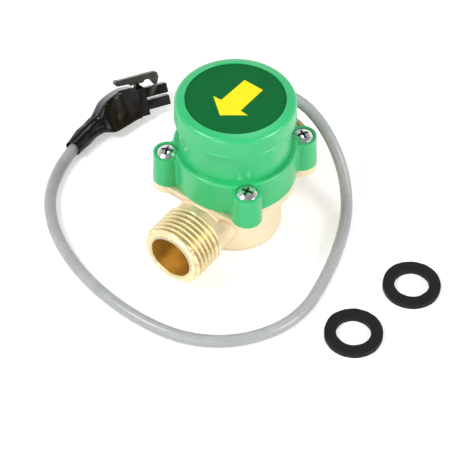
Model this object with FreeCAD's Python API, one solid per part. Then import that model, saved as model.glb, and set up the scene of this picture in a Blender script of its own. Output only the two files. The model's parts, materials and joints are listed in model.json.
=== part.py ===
"""Inline flow switch with two male G1/2 ports, a lift piston and a reed switch.

Millimetres. The origin is the centre of the valve bowl's flat underside, +Z up.
Water comes in at +Y and leaves at -Y. The lead leaves the head at the rear.
"""
import FreeCAD, Part
import math
import os

V = FreeCAD.Vector
TINY = 1e-6
NEAR = 1e-2
BEND_SHARE = 0.45

# Brass valve body
BOWL_R = 14.9
BOWL_ROUND = 1.5
BOWL_WALL = 3.4
BOWL_FLOOR = 2.5
PORT_Z = 12.4
PORT_BORE_R = 7.2
BORE_BEHIND_THREAD = 9.0
PASSAGE_R = 6.7
PORT_NECK_R = 9.6
THREAD_R = 10.4775
OUTLET_THREAD_LENGTH = 12.0
INLET_THREAD_LENGTH = 9.0
THREAD_CHAMFER = 1.15
THREAD_RUNOUT = 0.8
FLANGE_ABOVE_NECK = 1.2
FLANGE_TOP = PORT_Z + PORT_NECK_R + FLANGE_ABOVE_NECK
FLANGE_THICK = 2.8
FLANGE_BLEND = 1.2
CAST_BLEND = 1.0
FLANGE_TO_THREAD = 2.746
LOBE_PROUD = 0.9
PARTITION_BOTTOM = 10.5
PARTITION_TOP = 13.0
SEAT_HOLE_R = 5.5
SEAT_LIP_R = 7.0
SEAT_LIP_HEIGHT = 0.8

# Green switch housing: its drum and height set the rest
DRUM_R = 19.5
HOUSING_TOP = 52.0
HEAD_HEIGHT = HOUSING_TOP - FLANGE_TOP
LEDGE_Z = FLANGE_TOP + 0.41 * HEAD_HEIGHT
LEDGE_ROUND = 0.9
WAIST_FOOT_R = DRUM_R - 2.0
WAIST_R = DRUM_R - 2.4
CAP_SEAT_Z = FLANGE_TOP + 0.79 * HEAD_HEIGHT
CAP_SPIGOT_R = DRUM_R - 2.6
DRY_FLOOR_THICK = 2.0
DRY_R = WAIST_R - 2.7
BOARD_THICK = 1.6
ROOM_OVER_BOARD = 3.55
BOARD_SEAT_Z = HOUSING_TOP - ROOM_OVER_BOARD - BOARD_THICK
BOARD_BAY_R = CAP_SPIGOT_R - 1.6
WELL_R = 0.272 * DRUM_R
WELL_WALL = 1.6
WELL_TOP = BOARD_SEAT_Z - WELL_WALL - 1.0
CORE_OUT_R = DRUM_R - 1.7
CORE_OUT_IN_R = CORE_OUT_R - 2.1
CORE_OUT_TOP = LEDGE_Z - 1.8
WET_R = CORE_OUT_IN_R - 3.7
WET_TOP = CORE_OUT_TOP - 3.2

# Screws that hold the head to the flange
SCREW_CIRCLE_R = DRUM_R + 1.86
SCREW_PITCH = SCREW_CIRCLE_R * math.sqrt(0.5)
SCREW_R = 1.5
SCREW_HEAD_R = 3.15
SCREW_HEAD_HEIGHT = 1.9
SCREW_HEAD_ROUND = 1.1
SCREW_CROSS_WIDTH = 0.8
SCREW_CROSS_LENGTH = 3.4
SCREW_CROSS_DEPTH = 1.1
SCREW_END_GAP = 0.4
TAPPED_CLEARANCE = 0.02
SCREW_HOLE_CLEARANCE = 0.1
BOSS_FOOT_R = 4.75
FLANGE_HALF_WIDTH = SCREW_PITCH + BOSS_FOOT_R - LOBE_PROUD
THREAD_START = FLANGE_HALF_WIDTH + FLANGE_TO_THREAD + THREAD_RUNOUT
BORE_START = THREAD_START - BORE_BEHIND_THREAD
BOSS_TOP_R = 4.3
BOSS_BLEND = 0.9
BOSS_BELOW_LEDGE = 0.8
COUNTERBORE_CLEARANCE = 0.25
COUNTERBORE_DEPTH = 1.0

# Snap-on cap and its label
CAP_ROOF = 1.95
CAP_TOP = HOUSING_TOP + CAP_ROOF
CAP_R = DRUM_R - 0.75
CAP_ROUND = 1.4
CAP_SKIRT_ROUND = 0.3
CAP_FIT = 0.08
CAP_LAND_IN_R = CAP_R - 2.45
CAP_STEP = 0.25
LABEL_R = CAP_LAND_IN_R - 0.9
LABEL_THICK = 0.25
LABEL_SINK = 0.5
LABEL_EDGE_GAP = 0.1

# Seal between flange and housing
SEAL_RING_R = WET_R + 2.0
SEAL_CORD_R = 0.9
SEAL_GROOVE_CLEARANCE = 0.04

# Lift piston with its magnet
SEAT_GAP = 0.05
PISTON_SEAL_R = 7.4
PISTON_SEAL_THICK = 1.0
PISTON_DISC_R = 0.4 * (BOWL_R - BOWL_WALL + WET_R) - 0.2
PISTON_DISC_THICK = 2.0
PISTON_DISC_ROUND = 0.5
PISTON_STEM_CLEARANCE = 0.3
PISTON_LIFT = 7.0
PISTON_TOP_GAP = 0.2
PISTON_HUB_R = 2.6
WING_COUNT = 3
WING_THICK = 1.1
WING_CLEARANCE = 0.25
WING_BOTTOM = 5.0
WING_TOP_GAP = 0.2
WING_CHAMFER = 1.0
MAGNET_WALL = 1.8
MAGNET_LENGTH = 8.0
MAGNET_FIT = 0.05
PLUG_THICK = 1.0

# Circuit board and what it carries
BOARD_FIT = 0.1
BOARD_R = BOARD_BAY_R - BOARD_FIT
REED_GLASS_R = 1.15
REED_GLASS_WALL = 0.3
REED_GLASS_LENGTH = 12.0
REED_HEIGHT = 1.35
REED_BLADE_WIDTH = 1.0
REED_BLADE_THICK = 0.2
REED_BLADE_GAP = 0.15
REED_BLADE_OVERLAP = 1.0
REED_BLADE_ROOT = 0.5
REED_SEAL_FIT = 0.01
LEAD_R = 0.3
LEAD_REACH = 2.6
TRIAC_WIDTH = 0.63 * BOARD_R
TRIAC_LENGTH = 0.43 * BOARD_R
TRIAC_HEIGHT = 2.9
TRIAC_FRONT_Y = -0.3 * BOARD_R
TRIAC_TAB_LENGTH = 0.19 * BOARD_R
TRIAC_TAB_THICK = 1.1
TRIAC_TAB_INSET = 0.5
TRIAC_HOLE_R = 1.0
TRIAC_EDGE = 0.3
TRIAC_LEG_PITCH = 0.167 * BOARD_R
TRIAC_LEG_WIDTH = 0.8
TRIAC_LEG_REACH = 1.6
TRIAC_LEG_THICK = 0.4
TRIAC_LEG_HEIGHT = 1.5
RESISTOR_R = 1.15
RESISTOR_WAIST_R = 0.95
RESISTOR_BELL = 1.5
RESISTOR_LENGTH = 6.2
RESISTOR_LEAD_ROOT = 0.4
RESISTOR_Y = 0.3 * BOARD_R
CAPACITOR_LENGTH = 7.2
CAPACITOR_WIDTH = 2.8
CAPACITOR_HEIGHT = 3.2
CAPACITOR_Y = 0.57 * BOARD_R
CAPACITOR_EDGE = 0.3
CAPACITOR_LEG_X = 2.5
CAPACITOR_LEG_ROOT = 0.5
BODY_TO_BOARD = 0.05

# Lead out of the head: exit, grommet and cable route
CABLE_R = 1.95
CABLE_FIT = 0.05
EXIT_DROP_DEG = 12.0
EXIT_SHARE = 0.58
EXIT_START = V(0, DRY_R - 1.8, LEDGE_Z + EXIT_SHARE * (CAP_SEAT_Z - LEDGE_Z))
GROMMET_R = 2.75
GROMMET_FLANGE_R = 3.25
GROMMET_FLANGE_THICK = 1.2
GROMMET_NOSE_LENGTH = 3.2
GROMMET_NOSE_WALL = 0.45
GROMMET_PROUD = 0.1
GROMMET_TAIL_DEPTH = 2.9
GROMMET_FIT = 0.04
CORE_R = 0.55
CORE_PITCH = 1.6
CORE_STRAIGHT = 1.2
CORE_RISE = 2.5
CORE_SPREAD = 2.0
CORE_BEHIND_WALL = 3.6
FLOOR_LIFT = 0.05
ON_FLOOR = CABLE_R + FLOOR_LIFT

EXIT_RUN = 8.0
EXIT_DIRECTION = V(0, math.cos(math.radians(EXIT_DROP_DEG)), -math.sin(math.radians(EXIT_DROP_DEG)))
CABLE_ROUTE = [
    EXIT_START,
    EXIT_START + EXIT_DIRECTION * EXIT_RUN,
    V(2.6, 25.6, 36.4),
    V(7.1, 29.3, 31.3),
    V(11.9, 31.4, 24.4),
    V(17.2, 31.5, 16.9),
    V(22.7, 28.9, 10.2),
    V(27.4, 24.1, 5.0),
    V(31.4, 17.4, ON_FLOOR),
    V(36.2, 4.8, ON_FLOOR),
    V(39.4, -7.9, ON_FLOOR),
    V(41.2, -20.2, ON_FLOOR),
    V(38.6, -32.3, ON_FLOOR),
    V(30.3, -43.8, ON_FLOOR),
    V(18.2, -51.0, ON_FLOOR),
    V(4.5, -53.2, ON_FLOOR),
    V(-11.0, -52.2, ON_FLOOR),
    V(-26.8, -48.2, ON_FLOOR),
    V(-41.9, -40.6, ON_FLOOR),
    V(-52.6, -30.6, ON_FLOOR),
    V(-58.3, -19.4, ON_FLOOR),
    V(-60.5, -8.7, 2.6),
    V(-60.4, -1.8, 3.2),
]

# Two-way plug at the end of the lead, in its own frame: X along the prongs, Z up its row
PLUG_X = -53.25
PLUG_Y = 22.65
PLUG_Z = 5.5
PLUG_FRONT = V(PLUG_X, PLUG_Y, PLUG_Z)
PLUG_HEADING_DEG = 57.0
PLUG_LEAN_DEG = -34.0
SHOULDER_LENGTH = 2.9
SHOULDER_HALF_THICK = 2.7
SHOULDER_HALF_HEIGHT = 4.8
TAILPIECE_LENGTH = 6.0
TAILPIECE_INSET = 0.45
TAILPIECE_CORNER = 0.9
PRONG_LENGTH = 8.1
PRONG_SIDE = 3.3
PRONG_PITCH = 4.2
PRONG_LOW_Z = -1.65
PRONG_ROOT = 0.5
PRONG_EDGE = 0.25
SOCKET_SIDE = 2.0
CONTACT_R = 0.95
CONTACT_BORE_R = 0.6
CONTACT_RECESS = 0.7
CONTACT_REAR = 5.0
LATCH_PIVOT_X = -1.9
LATCH_PIVOT_Z = 6.1
LATCH_PIN_R = 0.7
LATCH_PIN_CLEARANCE = 0.08
STAND_ROOT = 0.5
STAND_FRONT_X = -0.2
STAND_NECK = 0.55
STAND_SINK = 0.2
LATCH_HALF_WIDTH = 1.45
LATCH_TOP = 9.0
LATCH_BEAM_THICK = 2.1
LATCH_TAIL_X = -9.1
LATCH_KNOB_R = 1.05
LATCH_NOSE_X = 6.0
LATCH_NOSE_GAP = 0.3
LATCH_TAIL_RISE = 0.4
LATCH_SADDLE_WALL = 0.9
LATCH_SADDLE_GAP = 0.1
LATCH_SADDLE_SLOPE = 1.0
LATCH_HOOK_BACK = 3.4
LATCH_HOOK_HEEL = 2.0
LATCH_HOOK_TOE = 1.2
LATCH_NOSE_DROP = 0.3
LATCH_NOSE_LEAN = 0.2
LATCH_NOSE_SLOPE = V(-1.0, 0, -0.6)
LATCH_KNOB_SINK = 0.58
LATCH_SWING_DEG = 8.0

# Shrink sleeve over the cable end and the plug's tailpiece: centre, heading, half sizes, corner
SLEEVE_FIT = 0.04
SLEEVE_SECTIONS = [
    (V(-60.3, -8.0, 3.25), 92.0, 2.90, 2.90, 2.6),
    (V(-60.6, -2.0, 3.55), 90.0, 3.15, 3.15, 2.8),
    (V(-60.2, 3.6, 3.9), 82.0, 3.00, 3.20, 2.5),
    (V(-58.4, 8.6, 5.95), 68.0, 3.50, 5.40, 2.2),
    (V(-57.0, 13.8, 6.5), 58.0, 3.60, 5.90, 2.0),
    (V(-56.0, 18.2, 5.85), 57.0, 3.15, 5.40, 1.4),
]
SLEEVE_END_HALF_THICK = 2.95
SLEEVE_END_HALF_HEIGHT = 5.05
SLEEVE_END_CORNER = 1.2

# Loose flat washers for the two unions
WASHER_R = 9.2
WASHER_HOLE_R = 5.45
WASHER_THICK = 2.0
WASHER_EDGE = 0.2
OUTLET_WASHER_X = 57.8
OUTLET_WASHER_Y = -18.7
INLET_WASHER_X = 62.1
INLET_WASHER_Y = 8.1

# Heights that follow from the sizes above
FLANGE_BOTTOM = FLANGE_TOP - FLANGE_THICK
SEAT_Z = PARTITION_TOP + SEAT_LIP_HEIGHT
CHAMBER_R = BOWL_R - BOWL_WALL
BOSS_TOP = LEDGE_Z - BOSS_BELOW_LEDGE
SCREW_SEAT_Z = BOSS_TOP - COUNTERBORE_DEPTH
PISTON_SEAL_Z = SEAT_Z + SEAT_GAP
PISTON_DISC_Z = PISTON_SEAL_Z + PISTON_SEAL_THICK
PISTON_TOP = WELL_TOP - PISTON_TOP_GAP - PISTON_LIFT
PISTON_STEM_R = WELL_R - PISTON_STEM_CLEARANCE
MAGNET_R = PISTON_STEM_R - MAGNET_WALL
BOARD_TOP = BOARD_SEAT_Z + BOARD_THICK
REED_Z = BOARD_TOP + REED_HEIGHT
LABEL_SEAT_Z = CAP_TOP - LABEL_SINK - LABEL_THICK


def disc(radius, bottom, top, x=0.0, y=0.0):
    return Part.makeCylinder(radius, top - bottom, V(x, y, bottom))


def cone(bottom_radius, top_radius, bottom, top, x=0.0, y=0.0):
    return Part.makeCone(bottom_radius, top_radius, top - bottom, V(x, y, bottom))


def ring(outer, inner, bottom, top, x=0.0, y=0.0):
    return disc(outer, bottom, top, x, y).cut(disc(inner, bottom, top, x, y))


def block(x0, x1, y0, y1, z0, z1):
    return Part.makeBox(x1 - x0, y1 - y0, z1 - z0, V(x0, y0, z0))


def rod(radius, start, end):
    return Part.makeCylinder(radius, (end - start).Length, start, end - start)


def fuse(shapes):
    """Join the shapes into one solid without seams."""
    return shapes[0].fuse(list(shapes[1:])).removeSplitter()


def lathe(profile):
    """Turn a closed outline of (radius, height) points about Z. A point with a third
    number is a corner rounded by that radius, between two straight runs at right angles."""
    edges = []
    count = len(profile)
    starts = []
    ends = []
    for i, point in enumerate(profile):
        corner = V(point[0], 0, point[1])
        radius = point[2] if len(point) > 2 else 0.0
        before = profile[i - 1]
        after = profile[(i + 1) % count]
        to_before = V(before[0], 0, before[1]).sub(corner).normalize()
        to_after = V(after[0], 0, after[1]).sub(corner).normalize()
        starts.append(corner + to_before * radius)
        ends.append(corner + to_after * radius)
        if radius:
            middle = corner + (to_before + to_after) * radius * (1 - math.sqrt(0.5))
            edges.append(Part.Arc(starts[-1], middle, ends[-1]).toShape())
    for i in range(count):
        edges.append(Part.LineSegment(ends[i], starts[(i + 1) % count]).toShape())
    wire = Part.Wire(Part.__sortEdges__(edges))
    return Part.Face(wire).revolve(V(0, 0, 0), V(0, 0, 1), 360)


def prism(points, half_width):
    """Extrude an outline of (x, z) points by half_width to each side of y = 0."""
    corners = [V(x, -half_width, z) for x, z in points]
    face = Part.Face(Part.makePolygon(corners + corners[:1]))
    return face.extrude(V(0, 2 * half_width, 0))


def turn(shape, count):
    """The shape and its copies, evenly spaced about Z."""
    copies = []
    for i in range(count):
        copy = shape.copy()
        copy.rotate(V(0, 0, 0), V(0, 0, 1), 360.0 * i / count)
        copies.append(copy)
    return copies


def at_corners(shape):
    """Copies of a shape, made about Z, at the four screw positions."""
    copies = []
    for sx in (-1, 1):
        for sy in (-1, 1):
            copy = shape.copy()
            copy.translate(V(sx * SCREW_PITCH, sy * SCREW_PITCH, 0))
            copies.append(copy)
    return copies


def seams(shape, first, second):
    """The edges on two surfaces at once. Each test gives a point's distance from one."""
    found = []
    for edge in shape.Edges:
        start = edge.FirstParameter
        step = (edge.LastParameter - start) / 4
        points = [edge.valueAt(start + step * k) for k in range(5)]
        if all(abs(first(p)) < NEAR and abs(second(p)) < NEAR for p in points):
            found.append(edge)
    return found


def route_wire(points):
    """Straight runs joined by tangent arcs, each as large as its two runs allow."""
    edges = []
    radii = []
    here = points[0]
    for before, corner, after in zip(points, points[1:], points[2:]):
        back = (before - corner)
        ahead = (after - corner)
        shorter = min(back.Length, ahead.Length)
        back.normalize()
        ahead.normalize()
        half_turn = (math.pi - back.getAngle(ahead)) / 2
        reach = BEND_SHARE * shorter
        radius = reach / math.tan(half_turn)
        radii.append(radius)
        start = corner + back * reach
        end = corner + ahead * reach
        inward = (back + ahead).normalize()
        middle = corner + inward * (radius / math.cos(half_turn) - radius)
        edges.append(Part.LineSegment(here, start).toShape())
        edges.append(Part.Arc(start, middle, end).toShape())
        here = end
    edges.append(Part.LineSegment(here, points[-1]).toShape())
    return Part.Wire(edges), radii


def tube(points, radius):
    """A round solid along the route, and the route's length and bend radii."""
    wire, radii = route_wire(points)
    start = points[0]
    section = Part.Wire(Part.makeCircle(radius, start, points[1] - start))
    return wire.makePipeShell([section], True, False), wire.Length, radii


def flange_outline(bottom, top):
    """The flange: a disc cut straight at the ports, with a lobe round each screw."""
    drum = disc(DRUM_R, bottom, top)
    straight = block(-DRUM_R, DRUM_R, -FLANGE_HALF_WIDTH, FLANGE_HALF_WIDTH, bottom, top)
    middle = block(-SCREW_PITCH, SCREW_PITCH, -FLANGE_HALF_WIDTH, FLANGE_HALF_WIDTH, bottom, top)
    lobes = at_corners(disc(BOSS_FOOT_R, bottom, top))
    plate = fuse([drum.common(straight), middle] + lobes)
    inner_corners = []
    for edge in plate.Edges:
        upright = abs(edge.BoundBox.ZLength - (top - bottom)) < TINY
        if upright and edge.BoundBox.XLength < TINY:
            inner_corners.append(edge)
    return plate.makeFillet(FLANGE_BLEND, inner_corners)


def along_y(shape):
    """Lay a shape made about +Z along -Y, at the height of the ports."""
    shape.rotate(V(0, 0, 0), V(1, 0, 0), 90)
    shape.translate(V(0, 0, PORT_Z))
    return shape


def port_outside(thread_length):
    """One spigot: smooth neck, thread at its major size, chamfered end."""
    end = THREAD_START + thread_length
    profile = [
        (0, 0),
        (PORT_NECK_R, 0),
        (PORT_NECK_R, THREAD_START - THREAD_RUNOUT),
        (THREAD_R, THREAD_START),
        (THREAD_R, end - THREAD_CHAMFER),
        (THREAD_R - THREAD_CHAMFER, end),
        (0, end),
    ]
    return along_y(lathe(profile))


def port_passage(thread_length, upper):
    """The water way from a port's mouth to its side of the partition."""
    end = THREAD_START + thread_length
    bore = along_y(disc(PORT_BORE_R, BORE_START, end))
    inner = along_y(disc(PASSAGE_R, 0, BORE_START))
    if upper:
        level = block(-BOWL_R, BOWL_R, -end, 0, PARTITION_TOP, FLANGE_BOTTOM)
    else:
        level = block(-BOWL_R, BOWL_R, -end, 0, 0, PARTITION_BOTTOM)
    return bore.fuse(inner.common(level))


def from_bowl(p):
    return math.hypot(p.x, p.y) - BOWL_R


def from_neck(p):
    return math.hypot(p.x, p.z - PORT_Z) - PORT_NECK_R


def from_flange(p):
    return p.z - FLANGE_BOTTOM


def from_flange_side(p):
    return abs(p.y) - FLANGE_HALF_WIDTH


def valve_body():
    """Cast body with a partition between the lower and the upper chamber."""
    bowl = disc(BOWL_R, 0, FLANGE_TOP)
    foot = [e for e in bowl.Edges if abs(e.BoundBox.ZMax) < TINY]
    bowl = bowl.makeFillet(BOWL_ROUND, foot)
    outlet = port_outside(OUTLET_THREAD_LENGTH)
    inlet = port_outside(INLET_THREAD_LENGTH)
    inlet.rotate(V(0, 0, 0), V(0, 0, 1), 180)
    body = fuse([bowl, flange_outline(FLANGE_BOTTOM, FLANGE_TOP), outlet, inlet])
    blends = (seams(body, from_bowl, from_neck) + seams(body, from_bowl, from_flange)
              + seams(body, from_neck, from_flange) + seams(body, from_neck, from_flange_side))
    body = body.makeFillet(CAST_BLEND, blends)

    out_way = port_passage(OUTLET_THREAD_LENGTH, upper=True)
    in_way = port_passage(INLET_THREAD_LENGTH, upper=False)
    in_way.rotate(V(0, 0, 0), V(0, 0, 1), 180)
    hollow = [
        disc(CHAMBER_R, PARTITION_TOP, FLANGE_TOP),
        disc(CHAMBER_R, BOWL_FLOOR, PARTITION_BOTTOM),
        out_way,
        in_way,
    ]
    body = body.cut(hollow)
    body = body.fuse(disc(SEAT_LIP_R, PARTITION_BOTTOM, SEAT_Z))
    body = body.cut(disc(SEAT_HOLE_R, BOWL_FLOOR, SEAT_Z))

    groove_half = SEAL_CORD_R + SEAL_GROOVE_CLEARANCE
    groove = ring(SEAL_RING_R + groove_half, SEAL_RING_R - groove_half,
                  FLANGE_TOP - 2 * groove_half, FLANGE_TOP)
    tapped = at_corners(disc(SCREW_R + TAPPED_CLEARANCE, FLANGE_BOTTOM, FLANGE_TOP))
    return body.cut([groove] + tapped).removeSplitter()


def cover_seal():
    centre_z = FLANGE_TOP - SEAL_CORD_R - SEAL_GROOVE_CLEARANCE
    return Part.makeTorus(SEAL_RING_R, SEAL_CORD_R, V(0, 0, centre_z))


def exit_axis(shape):
    """Turn a shape made about +Z from the origin to the cable's exit line."""
    shape.rotate(V(0, 0, 0), V(1, 0, 0), -90 - EXIT_DROP_DEG)
    shape.translate(EXIT_START)
    return shape


def exit_distance(radius):
    """How far along the exit line the given distance from the housing's axis lies."""
    return (radius - EXIT_START.y) / EXIT_DIRECTION.y


def from_drum(p):
    return math.hypot(p.x, p.y) - DRUM_R


def from_boss(p):
    share = (p.z - FLANGE_TOP) / (BOSS_TOP - FLANGE_TOP)
    radius = BOSS_FOOT_R + share * (BOSS_TOP_R - BOSS_FOOT_R)
    return math.hypot(abs(p.x) - SCREW_PITCH, abs(p.y) - SCREW_PITCH) - radius


def switch_housing():
    """Moulded housing: drum, four bosses, waist, wet cavity with well, dry cavity."""
    outer = lathe([
        (0, FLANGE_TOP),
        (DRUM_R, FLANGE_TOP),
        (DRUM_R, LEDGE_Z, LEDGE_ROUND),
        (WAIST_FOOT_R, LEDGE_Z),
        (WAIST_R, CAP_SEAT_Z),
        (CAP_SPIGOT_R, CAP_SEAT_Z),
        (CAP_SPIGOT_R, HOUSING_TOP),
        (0, HOUSING_TOP),
    ])
    bosses = at_corners(cone(BOSS_FOOT_R, BOSS_TOP_R, FLANGE_TOP, BOSS_TOP))
    housing = fuse([outer] + bosses)
    housing = housing.makeFillet(BOSS_BLEND, seams(housing, from_drum, from_boss))

    dry_floor = WET_TOP + DRY_FLOOR_THICK
    dry = fuse([disc(DRY_R, dry_floor, BOARD_SEAT_Z), disc(BOARD_BAY_R, BOARD_SEAT_Z, HOUSING_TOP)])
    dry = dry.cut(disc(WELL_R + WELL_WALL, dry_floor, WELL_TOP + WELL_WALL))
    core_out = ring(CORE_OUT_R, CORE_OUT_IN_R, FLANGE_TOP, CORE_OUT_TOP)
    screw_holes = at_corners(disc(SCREW_R + SCREW_HOLE_CLEARANCE, FLANGE_TOP, SCREW_SEAT_Z))
    pockets = at_corners(disc(SCREW_HEAD_R + COUNTERBORE_CLEARANCE, SCREW_SEAT_Z, LEDGE_Z))
    cable_hole = exit_axis(disc(GROMMET_R + GROMMET_FIT, 0, exit_distance(DRUM_R)))
    housing = housing.cut([disc(WET_R, FLANGE_TOP, WET_TOP), disc(WELL_R, WET_TOP, WELL_TOP),
                           dry, core_out, cable_hole] + screw_holes + pockets)
    bridges = at_corners(ring(BOSS_TOP_R, SCREW_R + SCREW_HOLE_CLEARANCE, FLANGE_TOP, SCREW_SEAT_Z))
    shell = disc(DRUM_R, FLANGE_TOP, SCREW_SEAT_Z)
    return fuse([housing] + [bridge.common(shell) for bridge in bridges])


def housing_cap():
    skirt_in = CAP_SPIGOT_R + CAP_FIT
    recess_r = LABEL_R + LABEL_EDGE_GAP
    return lathe([
        (0, HOUSING_TOP),
        (skirt_in, HOUSING_TOP),
        (skirt_in, CAP_SEAT_Z),
        (CAP_R, CAP_SEAT_Z, CAP_SKIRT_ROUND),
        (CAP_R, CAP_TOP, CAP_ROUND),
        (CAP_LAND_IN_R, CAP_TOP),
        (CAP_LAND_IN_R, CAP_TOP - CAP_STEP),
        (recess_r, CAP_TOP - CAP_STEP),
        (recess_r, LABEL_SEAT_Z),
        (0, LABEL_SEAT_Z),
    ])


def cap_label():
    return disc(LABEL_R, LABEL_SEAT_Z, LABEL_SEAT_Z + LABEL_THICK)


def housing_screws():
    """Four pan-head screws with a cross recess."""
    shank = disc(SCREW_R, FLANGE_BOTTOM + SCREW_END_GAP, SCREW_SEAT_Z)
    head_top = SCREW_SEAT_Z + SCREW_HEAD_HEIGHT
    head = disc(SCREW_HEAD_R, SCREW_SEAT_Z, head_top)
    rim = [e for e in head.Edges if e.BoundBox.ZMin > head_top - TINY]
    head = head.makeFillet(SCREW_HEAD_ROUND, rim)
    long_half = SCREW_CROSS_LENGTH / 2
    short_half = SCREW_CROSS_WIDTH / 2
    recess_z = head_top - SCREW_CROSS_DEPTH
    slots = [
        block(-long_half, long_half, -short_half, short_half, recess_z, head_top),
        block(-short_half, short_half, -long_half, long_half, recess_z, head_top),
    ]
    screw = fuse([shank, head]).cut(slots)
    return Part.makeCompound(at_corners(screw))


def flow_piston():
    """Lift piston: guide wings below the seat, disc, and a stem that carries the magnet."""
    hub = disc(PISTON_HUB_R, WING_BOTTOM + WING_CHAMFER, PISTON_DISC_Z)
    plate = disc(PISTON_DISC_R, PISTON_DISC_Z, PISTON_DISC_Z + PISTON_DISC_THICK)
    rim = [e for e in plate.Edges if e.BoundBox.XLength > PISTON_DISC_R]
    plate = plate.makeFillet(PISTON_DISC_ROUND, rim)
    stem = disc(PISTON_STEM_R, PISTON_DISC_Z, PISTON_TOP)
    wing_r = SEAT_HOLE_R - WING_CLEARANCE
    wing_top = SEAT_Z - WING_TOP_GAP
    wing = prism([
        (0, WING_BOTTOM),
        (wing_r - WING_CHAMFER, WING_BOTTOM),
        (wing_r, WING_BOTTOM + WING_CHAMFER),
        (wing_r, wing_top),
        (0, wing_top),
    ], WING_THICK / 2)
    piston = fuse([hub, plate, stem] + turn(wing, WING_COUNT))
    pocket_bottom = PISTON_TOP - PLUG_THICK - MAGNET_LENGTH - 2 * MAGNET_FIT
    return piston.cut(disc(MAGNET_R + MAGNET_FIT, pocket_bottom, PISTON_TOP))


def piston_seal():
    return ring(PISTON_SEAL_R, PISTON_HUB_R + MAGNET_FIT, PISTON_SEAL_Z, PISTON_DISC_Z)


def piston_magnet():
    top = PISTON_TOP - PLUG_THICK - MAGNET_FIT
    return disc(MAGNET_R, top - MAGNET_LENGTH, top)


def magnet_plug():
    return disc(MAGNET_R, PISTON_TOP - PLUG_THICK, PISTON_TOP)


def circuit_board():
    return disc(BOARD_R, BOARD_SEAT_Z, BOARD_TOP)


def reed_glass():
    """A glass tube, domed at both ends and sealed round the two leads."""
    half = REED_GLASS_LENGTH / 2
    outer_r = REED_GLASS_R
    inner_r = REED_GLASS_R - REED_GLASS_WALL
    straight = half - outer_r
    outer = fuse([rod(outer_r, V(-straight, 0, 0), V(straight, 0, 0)),
                  Part.makeSphere(outer_r, V(-straight, 0, 0)),
                  Part.makeSphere(outer_r, V(straight, 0, 0))])
    inner = rod(inner_r, V(-straight, 0, 0), V(straight, 0, 0))
    holes = rod(LEAD_R + REED_SEAL_FIT, V(-half, 0, 0), V(half, 0, 0))
    glass = outer.cut([inner, holes])
    glass.translate(V(0, 0, REED_Z))
    return glass


def bent_lead(inner_x, y, height):
    """A wire that runs outward along X and turns down to the board."""
    bend_x = inner_x + LEAD_REACH
    return tube([V(inner_x, y, height), V(bend_x, y, height), V(bend_x, y, BOARD_TOP)], LEAD_R)[0]


def mirrored(shape):
    return shape.mirror(V(0, 0, 0), V(1, 0, 0))


def reed_leads():
    """Two leads whose flat blades overlap, a little apart, inside the glass."""
    seal_x = REED_GLASS_LENGTH / 2 - REED_GLASS_R
    wire = bent_lead(seal_x, 0, REED_Z)
    half_width = REED_BLADE_WIDTH / 2
    gap = REED_BLADE_GAP / 2
    upper = block(-REED_BLADE_OVERLAP, seal_x, -half_width, half_width,
                  REED_Z + gap, REED_Z + gap + REED_BLADE_THICK)
    lower = block(-REED_BLADE_OVERLAP, seal_x, -half_width, half_width,
                  REED_Z - gap - REED_BLADE_THICK, REED_Z - gap)
    root = block(seal_x - REED_BLADE_ROOT, seal_x, -half_width, half_width,
                 REED_Z - gap - REED_BLADE_THICK, REED_Z + gap + REED_BLADE_THICK)
    right = fuse([wire, upper, root])
    left = mirrored(fuse([wire, lower, root]))
    return Part.makeCompound([right, left])


def triac_case():
    z = BOARD_TOP + BODY_TO_BOARD
    case = block(-TRIAC_WIDTH / 2, TRIAC_WIDTH / 2, TRIAC_FRONT_Y - TRIAC_LENGTH, TRIAC_FRONT_Y,
                 z + TRIAC_TAB_THICK, z + TRIAC_HEIGHT)
    edges = [e for e in case.Edges if e.BoundBox.ZMin > z + TRIAC_HEIGHT - TINY]
    return case.makeChamfer(TRIAC_EDGE, edges)


def triac_frame():
    """The metal tab under the case, and three legs that go down to the board."""
    z = BOARD_TOP + BODY_TO_BOARD
    half = TRIAC_WIDTH / 2
    back = TRIAC_FRONT_Y - TRIAC_LENGTH
    tab = block(-half, half, back - TRIAC_TAB_LENGTH, TRIAC_FRONT_Y - TRIAC_TAB_INSET,
                z, z + TRIAC_TAB_THICK)
    hole = disc(TRIAC_HOLE_R, z, z + TRIAC_TAB_THICK, 0, back - TRIAC_TAB_LENGTH / 2)
    pieces = [tab.cut(hole)]
    leg_half = TRIAC_LEG_WIDTH / 2
    leg_end = TRIAC_FRONT_Y + TRIAC_LEG_REACH
    leg_z = z + TRIAC_LEG_HEIGHT
    leg_top = leg_z + TRIAC_LEG_THICK
    for i in (-1, 0, 1):
        x = i * TRIAC_LEG_PITCH
        flat = block(x - leg_half, x + leg_half, TRIAC_FRONT_Y, leg_end, leg_z, leg_top)
        down = block(x - leg_half, x + leg_half, leg_end - TRIAC_LEG_THICK, leg_end,
                     BOARD_TOP, leg_top)
        pieces.append(fuse([flat, down]))
    return Part.makeCompound(pieces)


def gate_resistor():
    """Axial resistor: a waisted body on two bent leads."""
    half = RESISTOR_LENGTH / 2
    z = BOARD_TOP + RESISTOR_R + BODY_TO_BOARD
    body = lathe([
        (0, -half),
        (RESISTOR_R, -half),
        (RESISTOR_R, RESISTOR_BELL - half),
        (RESISTOR_WAIST_R, RESISTOR_BELL - half),
        (RESISTOR_WAIST_R, half - RESISTOR_BELL),
        (RESISTOR_R, half - RESISTOR_BELL),
        (RESISTOR_R, half),
        (0, half),
    ])
    body.rotate(V(0, 0, 0), V(0, 1, 0), 90)
    body.translate(V(0, RESISTOR_Y, z))
    lead = bent_lead(half - RESISTOR_LEAD_ROOT, RESISTOR_Y, z)
    return fuse([body, lead, mirrored(lead)])


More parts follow.
